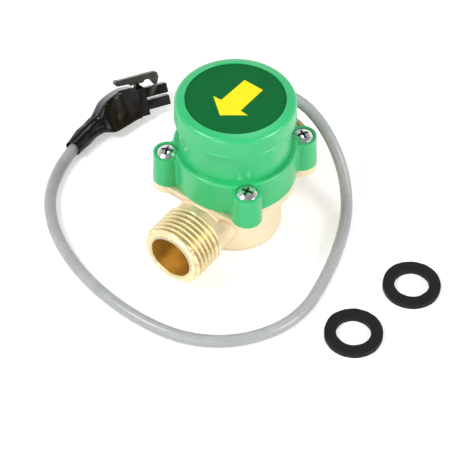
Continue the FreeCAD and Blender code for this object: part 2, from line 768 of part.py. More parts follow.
def snubber_capacitor():
    half = CAPACITOR_LENGTH / 2
    z = BOARD_TOP + BODY_TO_BOARD
    case = block(-half, half, CAPACITOR_Y - CAPACITOR_WIDTH / 2, CAPACITOR_Y + CAPACITOR_WIDTH / 2,
                 z, z + CAPACITOR_HEIGHT)
    upright = [e for e in case.Edges if e.BoundBox.ZLength > CAPACITOR_HEIGHT / 2]
    case = case.makeFillet(CAPACITOR_EDGE, upright)
    legs = [disc(LEAD_R, BOARD_TOP, z + CAPACITOR_LEG_ROOT, x, CAPACITOR_Y)
            for x in (-CAPACITOR_LEG_X, CAPACITOR_LEG_X)]
    return fuse([case] + legs)


def lead_cores():
    """The cable's two insulated cores, from the jacket's end up to the board."""
    cores = []
    for side in (-1, 1):
        start_x = side * CORE_PITCH / 2
        points = [
            EXIT_START + V(start_x, 0, 0),
            EXIT_START + V(start_x, 0, 0) - EXIT_DIRECTION * CORE_STRAIGHT,
            V(side * CORE_SPREAD, DRY_R - CORE_BEHIND_WALL, BOARD_SEAT_Z - CORE_RISE),
            V(side * CORE_SPREAD, DRY_R - CORE_BEHIND_WALL, BOARD_SEAT_Z),
        ]
        cores.append(tube(points, CORE_R)[0])
    return Part.makeCompound(cores)


def cable_grommet():
    """Rubber strain relief in the waist wall, with a tapered nose outside."""
    wall_out = exit_distance(WAIST_FOOT_R) + GROMMET_PROUD
    wall_in = wall_out - GROMMET_TAIL_DEPTH
    neck = disc(GROMMET_R, wall_in, wall_out)
    collar = disc(GROMMET_FLANGE_R, wall_out - GROMMET_FLANGE_THICK, wall_out + GROMMET_FLANGE_THICK)
    wall = cone(WAIST_FOOT_R + GROMMET_FIT, WAIST_R + GROMMET_FIT, LEDGE_Z, CAP_SEAT_Z)
    collar = exit_axis(collar).cut(wall)
    nose_start = wall_out + GROMMET_FLANGE_THICK
    nose = cone(GROMMET_R, CABLE_R + GROMMET_NOSE_WALL, nose_start, nose_start + GROMMET_NOSE_LENGTH)
    return fuse([exit_axis(neck), collar, exit_axis(nose)])


def plug_place(shape):
    """Move a shape from the plug's own frame to where the plug lies."""
    lean = FreeCAD.Rotation(V(1, 0, 0), PLUG_LEAN_DEG)
    heading = FreeCAD.Rotation(V(0, 0, 1), PLUG_HEADING_DEG)
    shape.Placement = FreeCAD.Placement(PLUG_FRONT, heading.multiply(lean)).multiply(shape.Placement)
    return shape


def prong_heights():
    return (PRONG_LOW_Z, PRONG_LOW_Z + PRONG_PITCH)


def tailpiece(grow=0.0):
    half_y = SHOULDER_HALF_THICK - TAILPIECE_INSET + grow
    half_z = SHOULDER_HALF_HEIGHT - TAILPIECE_INSET + grow
    rear = -SHOULDER_LENGTH - TAILPIECE_LENGTH - grow
    piece = block(rear, -SHOULDER_LENGTH, -half_y, half_y, -half_z, half_z)
    lengthwise = [e for e in piece.Edges if e.BoundBox.XLength > TAILPIECE_LENGTH / 2]
    return piece.makeFillet(TAILPIECE_CORNER, lengthwise)


def connector_housing():
    """Two-way plug body: tailpiece, shoulder, two square prongs and the latch's fulcrum."""
    shoulder = block(-SHOULDER_LENGTH, 0, -SHOULDER_HALF_THICK, SHOULDER_HALF_THICK,
                     -SHOULDER_HALF_HEIGHT, SHOULDER_HALF_HEIGHT)
    half = PRONG_SIDE / 2
    pieces = [shoulder, tailpiece()]
    sockets = []
    for z in prong_heights():
        prong = block(-PRONG_ROOT, PRONG_LENGTH, -half, half, z - half, z + half)
        tip = [e for e in prong.Edges if e.BoundBox.XMin > PRONG_LENGTH - TINY]
        pieces.append(prong.makeChamfer(PRONG_EDGE, tip))
        hole = SOCKET_SIDE / 2
        sockets.append(block(-SHOULDER_LENGTH - CONTACT_REAR, PRONG_LENGTH, -hole, hole, z - hole, z + hole))
    stand = prism([
        (-SHOULDER_LENGTH, SHOULDER_HALF_HEIGHT - STAND_ROOT),
        (STAND_FRONT_X, SHOULDER_HALF_HEIGHT - STAND_ROOT),
        (STAND_FRONT_X, SHOULDER_HALF_HEIGHT),
        (LATCH_PIVOT_X + STAND_NECK, LATCH_PIVOT_Z - STAND_SINK),
        (LATCH_PIVOT_X - STAND_NECK, LATCH_PIVOT_Z - STAND_SINK),
        (-SHOULDER_LENGTH, SHOULDER_HALF_HEIGHT),
    ], LATCH_HALF_WIDTH)
    fulcrum = rod(LATCH_PIN_R, V(LATCH_PIVOT_X, -LATCH_HALF_WIDTH, LATCH_PIVOT_Z),
                  V(LATCH_PIVOT_X, LATCH_HALF_WIDTH, LATCH_PIVOT_Z))
    return plug_place(fuse(pieces + [stand, fulcrum]).cut(sockets))


def connector_latch():
    """Rocking latch: thumb knob at the tail, saddle over the fulcrum, hook at the nose."""
    under = LATCH_TOP - LATCH_BEAM_THICK
    prong_top = prong_heights()[1] + PRONG_SIDE / 2
    hook_z = prong_top + LATCH_NOSE_GAP
    saddle = LATCH_PIN_R + LATCH_SADDLE_WALL
    saddle_z = LATCH_PIVOT_Z + LATCH_SADDLE_GAP
    lever = prism([
        (LATCH_TAIL_X, LATCH_TOP),
        (LATCH_TAIL_X, under + LATCH_TAIL_RISE),
        (LATCH_PIVOT_X - saddle - LATCH_SADDLE_SLOPE, under),
        (LATCH_PIVOT_X - saddle, saddle_z),
        (LATCH_PIVOT_X + saddle, saddle_z),
        (LATCH_PIVOT_X + saddle + LATCH_SADDLE_SLOPE, under),
        (LATCH_NOSE_X - LATCH_HOOK_BACK, under),
        (LATCH_NOSE_X - LATCH_HOOK_HEEL, hook_z),
        (LATCH_NOSE_X - LATCH_HOOK_TOE, hook_z),
        (LATCH_NOSE_X, under - LATCH_NOSE_DROP),
        (LATCH_NOSE_X - LATCH_NOSE_LEAN, LATCH_TOP + LATCH_NOSE_SLOPE.z),
        (LATCH_NOSE_X + LATCH_NOSE_SLOPE.x, LATCH_TOP),
    ], LATCH_HALF_WIDTH)
    knob_z = LATCH_TOP - LATCH_KNOB_SINK
    knob = rod(LATCH_KNOB_R, V(LATCH_TAIL_X, -LATCH_HALF_WIDTH, knob_z),
               V(LATCH_TAIL_X, LATCH_HALF_WIDTH, knob_z))
    saddle_hole = rod(LATCH_PIN_R + LATCH_PIN_CLEARANCE,
                      V(LATCH_PIVOT_X, -LATCH_HALF_WIDTH, LATCH_PIVOT_Z),
                      V(LATCH_PIVOT_X, LATCH_HALF_WIDTH, LATCH_PIVOT_Z))
    return plug_place(fuse([lever, knob]).cut(saddle_hole))


def contact_terminals():
    """A round socket contact in each prong."""
    contacts = []
    rear = -SHOULDER_LENGTH - CONTACT_REAR
    for z in prong_heights():
        start = V(rear, 0, z)
        end = V(PRONG_LENGTH - CONTACT_RECESS, 0, z)
        contact = rod(CONTACT_R, start, end).cut(rod(CONTACT_BORE_R, V(0, 0, z), end))
        contacts.append(contact)
    return plug_place(Part.makeCompound(contacts))


def sleeve_section(centre, heading, half_thick, half_height, corner):
    """A rounded rectangle square to the heading, leaning as the plug does."""
    a = half_thick - corner
    b = half_height - corner
    k = corner * math.sqrt(0.5)
    sides = [((half_thick, -b), (half_thick, b)), ((a, half_height), (-a, half_height)),
             ((-half_thick, b), (-half_thick, -b)), ((-a, -half_height), (a, -half_height))]
    bends = [(a + k, b + k), (-a - k, b + k), (-a - k, -b - k), (a + k, -b - k)]
    edges = []
    for i, (start, end) in enumerate(sides):
        following = sides[(i + 1) % 4][0]
        edges.append(Part.LineSegment(V(0, *start), V(0, *end)).toShape())
        edges.append(Part.Arc(V(0, *end), V(0, *bends[i]), V(0, *following)).toShape())
    wire = Part.Wire(edges)
    lean = FreeCAD.Rotation(V(1, 0, 0), PLUG_LEAN_DEG)
    turned = FreeCAD.Rotation(V(0, 0, 1), heading).multiply(lean)
    wire.Placement = FreeCAD.Placement(centre, turned)
    return wire


def heat_shrink_sleeve():
    """Lumpy sleeve, shrunk over the cable's end and the plug's tailpiece."""
    rotation = FreeCAD.Rotation(V(0, 0, 1), PLUG_HEADING_DEG)
    end_centre = PLUG_FRONT + rotation.multVec(V(-SHOULDER_LENGTH - SLEEVE_FIT, 0, 0))
    sections = [sleeve_section(*row) for row in SLEEVE_SECTIONS]
    sections.append(sleeve_section(end_centre, PLUG_HEADING_DEG, SLEEVE_END_HALF_THICK,
                                   SLEEVE_END_HALF_HEIGHT, SLEEVE_END_CORNER))
    sleeve = Part.makeLoft(sections, True, False)
    cable_way = tube(CABLE_ROUTE[-3:], CABLE_R + SLEEVE_FIT)[0]
    inside = plug_place(tailpiece(SLEEVE_FIT))
    return sleeve.cut([cable_way, inside])


def port_washer(x, y):
    washer = ring(WASHER_R, WASHER_HOLE_R, 0, WASHER_THICK, x, y)
    return washer.makeChamfer(WASHER_EDGE, [e for e in washer.Edges if e.BoundBox.XLength > WASHER_R])


def plug_point(x, y, z):
    """A point of the plug's own frame, in the part's frame."""
    point = plug_place(Part.Vertex(x, y, z))
    return point.Point


def main():
    cable, cable_length, cable_radii = tube(CABLE_ROUTE, CABLE_R)
    cable_way = tube(CABLE_ROUTE[:3], CABLE_R + CABLE_FIT)[0]
    pieces = {
        "valve_body": valve_body(),
        "cover_seal": cover_seal(),
        "switch_housing": switch_housing(),
        "housing_cap": housing_cap(),
        "cap_label": cap_label(),
        "housing_screws": housing_screws(),
        "flow_piston": flow_piston(),
        "piston_seal": piston_seal(),
        "piston_magnet": piston_magnet(),
        "magnet_plug": magnet_plug(),
        "circuit_board": circuit_board(),
        "reed_glass": reed_glass(),
        "reed_leads": reed_leads(),
        "triac_case": triac_case(),
        "triac_frame": triac_frame(),
        "gate_resistor": gate_resistor(),
        "snubber_capacitor": snubber_capacitor(),
        "lead_cores": lead_cores(),
        "cable_grommet": cable_grommet().cut(cable_way),
        "cable": cable,
        "heat_shrink_sleeve": heat_shrink_sleeve(),
        "connector_housing": connector_housing(),
        "connector_latch": connector_latch(),
        "contact_terminals": contact_terminals(),
        "outlet_washer": port_washer(OUTLET_WASHER_X, OUTLET_WASHER_Y),
        "inlet_washer": port_washer(INLET_WASHER_X, INLET_WASHER_Y),
    }
    os.makedirs("parts", exist_ok=True)
    for name, shape in pieces.items():
        shape.exportStep("parts/" + name + ".step")
        print(name, "valid", shape.isValid(), "solids", len(shape.Solids),
              "volume", round(shape.Volume, 2))

    section = math.pi * CABLE_R ** 2
    print("cable length", round(cable_length, 1), "volume over section times length",
          round(cable.Volume / (section * cable_length), 4))
    print("cable radii", [round(r, 1) for r in cable_radii])
    print("latch pivot", plug_point(LATCH_PIVOT_X, 0, LATCH_PIVOT_Z))
    print("latch axis", plug_point(0, -1, 0) - plug_point(0, 0, 0), "swing", LATCH_SWING_DEG)
    print("plug front", plug_point(PRONG_LENGTH, 0, PRONG_LOW_Z + PRONG_PITCH / 2),
          "direction", plug_point(1, 0, 0) - plug_point(0, 0, 0))


main()
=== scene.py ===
"""Dresses the flow switch: camera, lead, finishes, light and the detailed pieces."""
import bpy
import bmesh
import json
import math
from mathutils import Matrix, Vector, noise


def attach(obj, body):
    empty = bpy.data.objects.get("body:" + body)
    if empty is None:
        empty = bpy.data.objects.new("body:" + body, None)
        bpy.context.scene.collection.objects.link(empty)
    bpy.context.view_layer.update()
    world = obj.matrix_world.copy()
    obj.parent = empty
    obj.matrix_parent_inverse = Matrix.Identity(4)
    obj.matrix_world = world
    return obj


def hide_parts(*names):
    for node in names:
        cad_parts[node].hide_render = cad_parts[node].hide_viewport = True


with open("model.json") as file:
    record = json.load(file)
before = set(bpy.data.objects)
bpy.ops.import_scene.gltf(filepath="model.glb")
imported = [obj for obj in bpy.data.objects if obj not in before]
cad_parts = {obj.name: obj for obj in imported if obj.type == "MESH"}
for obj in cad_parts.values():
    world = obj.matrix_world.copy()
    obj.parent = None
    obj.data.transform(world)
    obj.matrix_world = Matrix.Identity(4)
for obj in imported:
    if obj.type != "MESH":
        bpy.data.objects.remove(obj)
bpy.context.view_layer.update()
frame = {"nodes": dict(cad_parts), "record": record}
nodes = frame["nodes"]
MM = 0.001

# The camera of the photograph, in metres and radians, its lens in millimetres
CAMERA_AT = Vector((0.23628, -0.33659, 0.44713))
CAMERA_AZIMUTH = math.radians(35.055)
CAMERA_ELEVATION = math.radians(47.917)
CAMERA_ROLL = math.radians(0.363)
CAMERA_LENS = 143.6
CAMERA_NEAR = 0.01

# Sizes shared with the solids, in millimetres and degrees
PORT_Z = 12.4
PORT_BORE_R = 7.2
BORE_START = 13.5
THREAD_R = 10.4775
THREAD_START = 22.5
OUTLET_END = 34.5
INLET_END = 31.5
CAP_R = 18.75
CAP_SEAT_Z = 45.952
CAP_TOP = 53.95
HOUSING_TOP = 52.0
SKIRT_IN_R = 16.98
LABEL_RECESS_R = 15.5
LABEL_R = 15.4
LABEL_Z = 53.2
LABEL_TOP = 53.45
SCREW_PITCH = 15.104
SCREW_SEAT_Z = 33.208
SCREW_HEAD_TOP = 35.108
SCREW_SHANK_R = 1.5
SCREW_SHANK_LENGTH = 12.4
CABLE_R = 1.95
ROUTE = [
    (0, 12.6, 41.356), (0, 20.425, 39.692), (2.6, 25.6, 36.4), (7.1, 29.3, 31.3), (11.9, 31.4, 24.4),
    (17.2, 31.5, 16.9), (22.7, 28.9, 10.2), (27.4, 24.1, 5.0), (31.4, 17.4, 2.0), (36.2, 4.8, 2.0),
    (39.4, -7.9, 2.0), (41.2, -20.2, 2.0), (38.6, -32.3, 2.0), (30.3, -43.8, 2.0), (18.2, -51.0, 2.0),
    (4.5, -53.2, 2.0), (-11.0, -52.2, 2.0), (-26.8, -48.2, 2.0), (-41.9, -40.6, 2.0),
    (-52.6, -30.6, 2.0), (-58.3, -19.4, 2.0), (-60.5, -8.7, 2.6), (-60.4, -1.8, 3.2),
]
PLUG_FRONT = Vector((-53.25, 22.65, 5.5))
PLUG_HEADING = 57.0
PLUG_LEAN = -34.0
LATCH_PIVOT = (-1.9, 6.1)
LATCH_HOLE_R = 0.78
LATCH_HALF_WIDTH = 1.45
WASHER_R = 9.2
WASHER_HOLE_R = 5.45
WASHER_THICK = 2.0
WASHERS = {"outlet_washer": (57.8, -18.7), "inlet_washer": (62.1, 8.1)}


def link(obj):
    bpy.context.scene.collection.objects.link(obj)
    return obj


def add_camera():
    back = Vector((
        math.sin(CAMERA_AZIMUTH) * math.cos(CAMERA_ELEVATION),
        -math.cos(CAMERA_AZIMUTH) * math.cos(CAMERA_ELEVATION),
        math.sin(CAMERA_ELEVATION),
    ))
    right = Vector((math.cos(CAMERA_AZIMUTH), math.sin(CAMERA_AZIMUTH), 0))
    up = back.cross(right)
    rolled = right * math.cos(CAMERA_ROLL) + up * math.sin(CAMERA_ROLL)
    upright = back.cross(rolled)
    data = bpy.data.cameras.new("photo_camera")
    data.lens = CAMERA_LENS
    data.clip_start = CAMERA_NEAR
    camera = link(bpy.data.objects.new("photo_camera", data))
    turn = Matrix((rolled, upright, back)).transposed().to_4x4()
    camera.matrix_world = Matrix.Translation(CAMERA_AT) @ turn
    bpy.context.scene.camera = camera


# Materials. A noise texture's values lie for the most part between these two.
NOISE_LOW = 0.3
NOISE_HIGH = 0.7
FINISHES = {}


def new_material(name):
    material = bpy.data.materials.new(name)
    material.use_nodes = True
    tree = material.node_tree
    shader = next(n for n in tree.nodes if n.type == "BSDF_PRINCIPLED")
    FINISHES[name] = material
    return tree, shader


def math_node(tree, operation, first, second):
    node = tree.nodes.new("ShaderNodeMath")
    node.operation = operation
    for socket, value in zip(node.inputs, (first, second)):
        if isinstance(value, float):
            socket.default_value = value
        else:
            tree.links.new(value, socket)
    return node.outputs[0]


def map_range(tree, source, source_range, result_range):
    node = tree.nodes.new("ShaderNodeMapRange")
    names = ("From Min", "From Max", "To Min", "To Max")
    for name, value in zip(names, (*source_range, *result_range)):
        node.inputs[name].default_value = value
    tree.links.new(source, node.inputs["Value"])
    return node.outputs["Result"]


def noise_node(tree, scale, detail=3.0, stretch=None):
    """Noise over the object's own space, its features about 1/scale metres wide."""
    place = tree.nodes.new("ShaderNodeTexCoord")
    source = place.outputs["Object"]
    if stretch:
        mapping = tree.nodes.new("ShaderNodeMapping")
        mapping.inputs["Scale"].default_value = stretch
        tree.links.new(source, mapping.inputs["Vector"])
        source = mapping.outputs["Vector"]
    texture = tree.nodes.new("ShaderNodeTexNoise")
    texture.inputs["Scale"].default_value = scale
    texture.inputs["Detail"].default_value = detail
    tree.links.new(source, texture.inputs["Vector"])
    return texture.outputs["Fac"]


def ramp(tree, source, dark, light):
    node = tree.nodes.new("ShaderNodeValToRGB")
    steps = ((NOISE_LOW, dark), (NOISE_HIGH, light))
    for element, (position, colour) in zip(node.color_ramp.elements, steps):
        element.position = position
        element.color = (*colour, 1)
    tree.links.new(source, node.inputs["Fac"])
    return node.outputs["Color"]


def spread(tree, source, result_range):
    return map_range(tree, source, (NOISE_LOW, NOISE_HIGH), result_range)


def bump(tree, shader, source, depth):
    node = tree.nodes.new("ShaderNodeBump")
    node.inputs["Distance"].default_value = depth * MM
    node.inputs["Strength"].default_value = 1.0
    tree.links.new(source, node.inputs["Height"])
    tree.links.new(node.outputs["Normal"], shader.inputs["Normal"])


def shade_in_hollows(tree, colour, hollow_colour, reach):
    """The colour, darkened in hollows up to reach millimetres wide: painted shade where little light gets
    in.
    """
    hollow = tree.nodes.new("ShaderNodeAmbientOcclusion")
    hollow.samples = 6
    hollow.inputs["Distance"].default_value = reach * MM
    mixed = tree.nodes.new("ShaderNodeMix")
    mixed.data_type = "RGBA"
    in_hollow, in_open = [p for p in mixed.inputs if p.type == "RGBA"]
    in_hollow.default_value = (*hollow_colour, 1)
    tree.links.new(colour, in_open)
    factor = next(p for p in mixed.inputs if p.name == "Factor" and p.type == "VALUE")
    tree.links.new(hollow.outputs["AO"], factor)
    return next(p for p in mixed.outputs if p.type == "RGBA")


def finish(name, dark, light, roughness, metallic=0.0, blotch=120, grain=1500, depth=0.01,
           sockets=None, stretch=None, hollow=None):
    """A moulded, cast or rubber finish: slow colour change, varied gloss and fine relief."""
    tree, shader = new_material(name)
    slow = noise_node(tree, blotch)
    fine = noise_node(tree, grain, 4.0, stretch)
    colour = ramp(tree, slow, dark, light)
    # Optional painted shade in hollows.
    if hollow:
        colour = shade_in_hollows(tree, colour, *hollow)
    tree.links.new(colour, shader.inputs["Base Color"])
    tree.links.new(spread(tree, slow, roughness), shader.inputs["Roughness"])
    shader.inputs["Metallic"].default_value = metallic
    for socket, value in (sockets or {}).items():
        shader.inputs[socket].default_value = value
    bump(tree, shader, fine, depth)


def turned_brass():
    """Lathe-cut brass: fine rings round the port's axis over a warm bright metal, with painted shade in
    its thread grooves and other hollows.
    """
    tree, shader = new_material("machined_brass")
    slow = noise_node(tree, 260)
    bright = ramp(tree, slow, (0.91, 0.76, 0.42), (0.95, 0.84, 0.53))
    # Painted shade in the thread's grooves and other hollows, up to 1.6 mm wide.
    tree.links.new(shade_in_hollows(tree, bright, (0.42, 0.24, 0.05), 1.6), shader.inputs["Base Color"])
    tree.links.new(spread(tree, slow, (0.22, 0.3)), shader.inputs["Roughness"])
    shader.inputs["Metallic"].default_value = 0.5
    rings = noise_node(tree, 400, 2.0, (0.05, 6.0, 0.05))
    bump(tree, shader, rings, 0.003)


def glass():
    tree, shader = new_material("reed_glass")
    slow = noise_node(tree, 300)
    tree.links.new(ramp(tree, slow, (0.75, 0.92, 0.82), (0.86, 0.97, 0.9)), shader.inputs["Base Color"])
    shader.inputs["Roughness"].default_value = 0.05
    shader.inputs["Transmission Weight"].default_value = 0.9


def make_finishes():
    # Cast brass, with painted shade in hollows up to 2.2 mm wide.
    finish("cast_brass", (0.90, 0.76, 0.51), (0.95, 0.82, 0.58), (0.36, 0.5), 0.38,
           blotch=160, grain=2200, depth=0.05, hollow=((0.50, 0.32, 0.14), 2.2))
    turned_brass()
    # The bore's brass, darker and deeper gold: painted shade for the little light inside the bore.
    finish("bore_shade_brass", (0.28, 0.115, 0.008), (0.36, 0.165, 0.018), (0.36, 0.48), 0.85,
           blotch=220, grain=900, depth=0.02, stretch=(0.2, 4.0, 0.2))
    finish("green_plastic", (0.026, 0.49, 0.165), (0.03, 0.52, 0.175), (0.28, 0.36),
           blotch=35, grain=700, depth=0.005, sockets={"Coat Weight": 0.35, "Coat Roughness": 0.32})
    finish("label_film", (0.003, 0.125, 0.03), (0.004, 0.14, 0.034), (0.55, 0.65),
           blotch=200, grain=3000, depth=0.004, sockets={"Specular IOR Level": 0.1})
    finish("arrow_print", (0.86, 0.78, 0.010), (0.90, 0.83, 0.014), (0.45, 0.55),
           blotch=400, grain=4000, depth=0.004, sockets={"Specular IOR Level": 0.2})
    finish("screw_chrome", (0.74, 0.73, 0.74), (0.9, 0.89, 0.9), (0.16, 0.26), 1.0,
           blotch=700, grain=2500)
    # A dark copy of the chrome for the cross recess: painted shade.
    finish("recess_shade_chrome", (0.12, 0.11, 0.11), (0.24, 0.22, 0.22), (0.25, 0.4), 0.9,
           blotch=900, grain=2500)
    finish("white_plastic", (0.76, 0.76, 0.72), (0.82, 0.82, 0.79), (0.35, 0.45))
    finish("magnet_metal", (0.42, 0.42, 0.43), (0.55, 0.55, 0.56), (0.25, 0.38), 1.0)
    finish("board_laminate", (0.02, 0.14, 0.05), (0.03, 0.19, 0.07), (0.3, 0.42),
           blotch=500, grain=2600)
    glass()
    finish("tinned_metal", (0.66, 0.66, 0.64), (0.8, 0.8, 0.78), (0.2, 0.36), 1.0, blotch=900)
    finish("black_plastic", (0.003, 0.0025, 0.002), (0.005, 0.004, 0.0035), (0.16, 0.24),
           blotch=250, grain=1800, depth=0.003, sockets={"Specular IOR Level": 0.2})
    finish("latch_plastic", (0.022, 0.021, 0.019), (0.034, 0.032, 0.03), (0.3, 0.4),
           blotch=250, grain=1800, depth=0.004)
    finish("component_coat", (0.42, 0.26, 0.1), (0.55, 0.36, 0.16), (0.25, 0.4))
    finish("core_insulation", (0.3, 0.05, 0.03), (0.42, 0.08, 0.05), (0.35, 0.45))
    finish("cable_jacket", (0.37, 0.38, 0.385), (0.42, 0.43, 0.435), (0.22, 0.32),
           blotch=150, grain=1400, depth=0.008)
    finish("shrink_sleeve", (0.003, 0.0025, 0.002), (0.005, 0.004, 0.0035), (0.1, 0.18),
           blotch=180, grain=420, depth=0.02, sockets={"Specular IOR Level": 0.3})
    finish("washer_rubber", (0.007, 0.007, 0.007), (0.013, 0.0125, 0.012), (0.5, 0.7),
           blotch=350, grain=1600, depth=0.04, sockets={"Specular IOR Level": 0.18})
    finish("seal_rubber", (0.012, 0.012, 0.012), (0.02, 0.02, 0.02), (0.45, 0.6),
           blotch=300, depth=0.02)


def coat_nodes():
    """Give each solid that keeps its own mesh the finish of its slot."""
    for row in frame["record"]["subparts"]:
        for slot in nodes[row["node"]].material_slots:
            slot.material = FINISHES[row["material_slot"]]


# Building meshes, in millimetres

def to_object(name, bm):
    bmesh.ops.recalc_face_normals(bm, faces=bm.faces)
    mesh = bpy.data.meshes.new(name)
    bm.to_mesh(mesh)
    bm.free()
    return link(bpy.data.objects.new(name, mesh))


def add_piece(name, bm, slots, stands_for=(), body="valve", angle=32.0):
    """Turn a bmesh in millimetres into a piece that rides on a body."""
    bmesh.ops.scale(bm, vec=(MM, MM, MM), verts=bm.verts)
    obj = to_object(name, bm)
    for name_of_slot in slots:
        obj.data.materials.append(FINISHES[name_of_slot])
    for polygon in obj.data.polygons:
        polygon.use_smooth = True
    obj.data.set_sharp_from_angle(angle=math.radians(angle))
    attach(obj, body)
    if stands_for:
        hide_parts(*stands_for)


def mesh_of(obj):
    """A bmesh of the object's mesh; the object is dropped."""
    bm = bmesh.new()
    bm.from_mesh(obj.data)
    bpy.data.objects.remove(obj)
    return bm


def combine(obj, tool, operation, tool_crosses_itself=False):
    """Join the tool to the object or cut it away, then drop the tool."""
    modifier = obj.modifiers.new("combine", "BOOLEAN")
    modifier.operation = operation
    modifier.solver = "EXACT"
    modifier.use_self = tool_crosses_itself
    modifier.object = tool
    seen = obj.evaluated_get(bpy.context.evaluated_depsgraph_get())
    result = bpy.data.meshes.new_from_object(seen)
    obj.modifiers.clear()
    obj.data = result
    bpy.data.objects.remove(tool)


MERGE_DISTANCE = 0.0005


def cad_copy(node):
    """The node's surface in millimetres, its doubled corners merged."""
    bm = bmesh.new()
    bm.from_mesh(nodes[node].data)
    bmesh.ops.scale(bm, vec=(1 / MM, 1 / MM, 1 / MM), verts=bm.verts)
    bmesh.ops.remove_doubles(bm, verts=bm.verts, dist=MERGE_DISTANCE)
    return bm


def rounded(points, steps):
    """Replace each (r, z, radius) corner by an arc; points without a radius stay sharp."""
    result = []
    count = len(points)
    for i, point in enumerate(points):
        here = Vector(point[:2])
        radius = point[2] if len(point) > 2 else 0.0
        if not radius:
            result.append(tuple(here))
            continue
        before = (Vector(points[i - 1][:2]) - here).normalized()
        after = (Vector(points[(i + 1) % count][:2]) - here).normalized()
        half = before.angle(after) / 2
        reach = radius / math.tan(half)
        centre = here + (before + after).normalized() * (radius / math.sin(half))
        start = here + before * reach - centre
        end = here + after * reach - centre
        sweep = start.angle_signed(end)
        for k in range(steps + 1):
            spoke = start.copy()
            spoke.rotate(Matrix.Rotation(-sweep * k / steps, 2))
            result.append(tuple(centre + spoke))
    return result


ON_AXIS = 1e-6


def lathe(profile, segments, place=Matrix.Identity(4), wobble=None):
    """Turn a closed outline of (r, z) points about Z. A point on the axis makes a pole."""
    bm = bmesh.new()
    columns = []
    for r, z in profile:
        if r < ON_AXIS:
            columns.append([bm.verts.new(place @ Vector((0, 0, z)))])
            continue
        column = []
        for k in range(segments):
            angle = math.tau * k / segments
            spot = Vector((r * math.cos(angle), r * math.sin(angle), z))
            if wobble:
                spot = wobble(spot, angle)
            column.append(bm.verts.new(place @ spot))
        columns.append(column)
    for i, first in enumerate(columns):
        second = columns[(i + 1) % len(columns)]
        if len(first) == 1 and len(second) == 1:
            continue
        for k in range(segments):
            after = (k + 1) % segments
            if len(first) == 1:
                bm.faces.new((first[0], second[after], second[k]))
            elif len(second) == 1:
                bm.faces.new((first[k], first[after], second[0]))
            else:
                bm.faces.new((first[k], first[after], second[after], second[k]))
    return bm


def loft(bm, rings):
    """Skin rings of equally many points, and close both ends with a fan."""
    rows = [[bm.verts.new(p) for p in ring] for ring in rings]
    count = len(rows[0])
    for first, second in zip(rows, rows[1:]):
        for k in range(count):
            after = (k + 1) % count
            bm.faces.new((first[k], first[after], second[after], second[k]))
    for row in (rows[0], rows[-1]):
        middle = bm.verts.new(sum((v.co for v in row), Vector()) / count)
        for k in range(count):
            bm.faces.new((row[k], row[(k + 1) % count], middle))


def prism(near_points, far_points):
    """A flat bar between two outlines of the same points, one on each side."""
    bm = bmesh.new()
    near = [bm.verts.new(point) for point in near_points]
    far = [bm.verts.new(point) for point in far_points]
    bm.faces.new(near)
    bm.faces.new(far)
    for k in range(len(near)):
        after = (k + 1) % len(near)
        bm.faces.new((near[k], near[after], far[after], far[k]))
    return bm


def sharp_edges(bm, degrees):
    two_sided = [edge for edge in bm.edges if len(edge.link_faces) == 2]
    return [edge for edge in two_sided if edge.calc_face_angle() > math.radians(degrees)]


def bevel_edges(bm, edges, width):
    bmesh.ops.bevel(bm, geom=edges, offset=width, segments=2, profile=0.6, affect="EDGES",
                    clamp_overlap=True)


def plug_turn(heading):
    """From the plug's own axes, x forward, to the axes of the frame."""
    lean = Matrix.Rotation(math.radians(PLUG_LEAN), 4, "X")
    return Matrix.Rotation(math.radians(heading), 4, "Z") @ lean


# Brass body: pitch of the thread, and its groove's section as (height over its radius, offset along it)
THREAD_PITCH = 1.814
GROOVE = [
    (0.45, -0.80), (0.01, -0.80), (-0.04, -0.73), (-0.12, -0.66), (-0.24, -0.58), (-0.95, -0.19),
    (-1.08, -0.10), (-1.12, 0.0), (-1.08, 0.10), (-0.95, 0.19), (-0.24, 0.58), (-0.12, 0.66),
    (-0.04, 0.73), (0.01, 0.80), (0.45, 0.80),
]
GROOVE_STEPS = 80
GROOVE_RUN_IN = 1.5
GROOVE_OVERRUN = 0.3
FADE_OVERRUN = 0.2
FADE_LENGTH = 1.6
FADE_LIFT = 1.3
# How far the finishes reach past the bore's wall and end, the thread's crests and its inner end
BORE_MARGIN = 0.05
BORE_END_MARGIN = 0.1
CREST_MARGIN = 0.5
MACHINED_OVERRUN = 1.2


def thread_cutter(side, end):
    """A helical groove with rounded root and shoulders, faded out towards the neck."""
    start = end + GROOVE_RUN_IN
    turns = (start - THREAD_START + GROOVE_OVERRUN) / THREAD_PITCH
    rings = []
    for k in range(int(turns * GROOVE_STEPS)):
        along = start - THREAD_PITCH * k / GROOVE_STEPS
        fade = min(1.0, max(0.0, (along - THREAD_START + FADE_OVERRUN) / FADE_LENGTH))
        angle = side * math.tau * k / GROOVE_STEPS
        ring = []
        for height, offset in GROOVE:
            lifted = THREAD_R + height + (1 - fade) * FADE_LIFT
            y = side * (along + offset)
            ring.append(Vector((lifted * math.cos(angle), y, PORT_Z + lifted * math.sin(angle))))
        rings.append(ring)
    bm = bmesh.new()
    loft(bm, rings)
    return bm


def brass_body():
    """The valve body's solid with its threads cut, cast outside and machined at the ports, with painted
    shade in its bore.
    """
    body = to_object("brass_blank", cad_copy("valve_body"))
    for side, end in ((-1, OUTLET_END), (1, INLET_END)):
        combine(body, to_object("thread_tool", thread_cutter(side, end)), "DIFFERENCE")
    bm = mesh_of(body)
    for face in bm.faces:
        centre = face.calc_center_median()
        off_axis = math.hypot(centre.x, centre.z - PORT_Z)
        # Faces inside the bore take the dark bore brass, painted shade.
        if off_axis < PORT_BORE_R + BORE_MARGIN and abs(centre.y) > BORE_START - BORE_END_MARGIN:
            face.material_index = 2
        elif off_axis < THREAD_R + CREST_MARGIN and abs(centre.y) > THREAD_START - MACHINED_OVERRUN:
            face.material_index = 1
    finishes = ("cast_brass", "machined_brass", "bore_shade_brass")
    add_piece("brass_body", bm, finishes, ("valve_body",), angle=28.0)


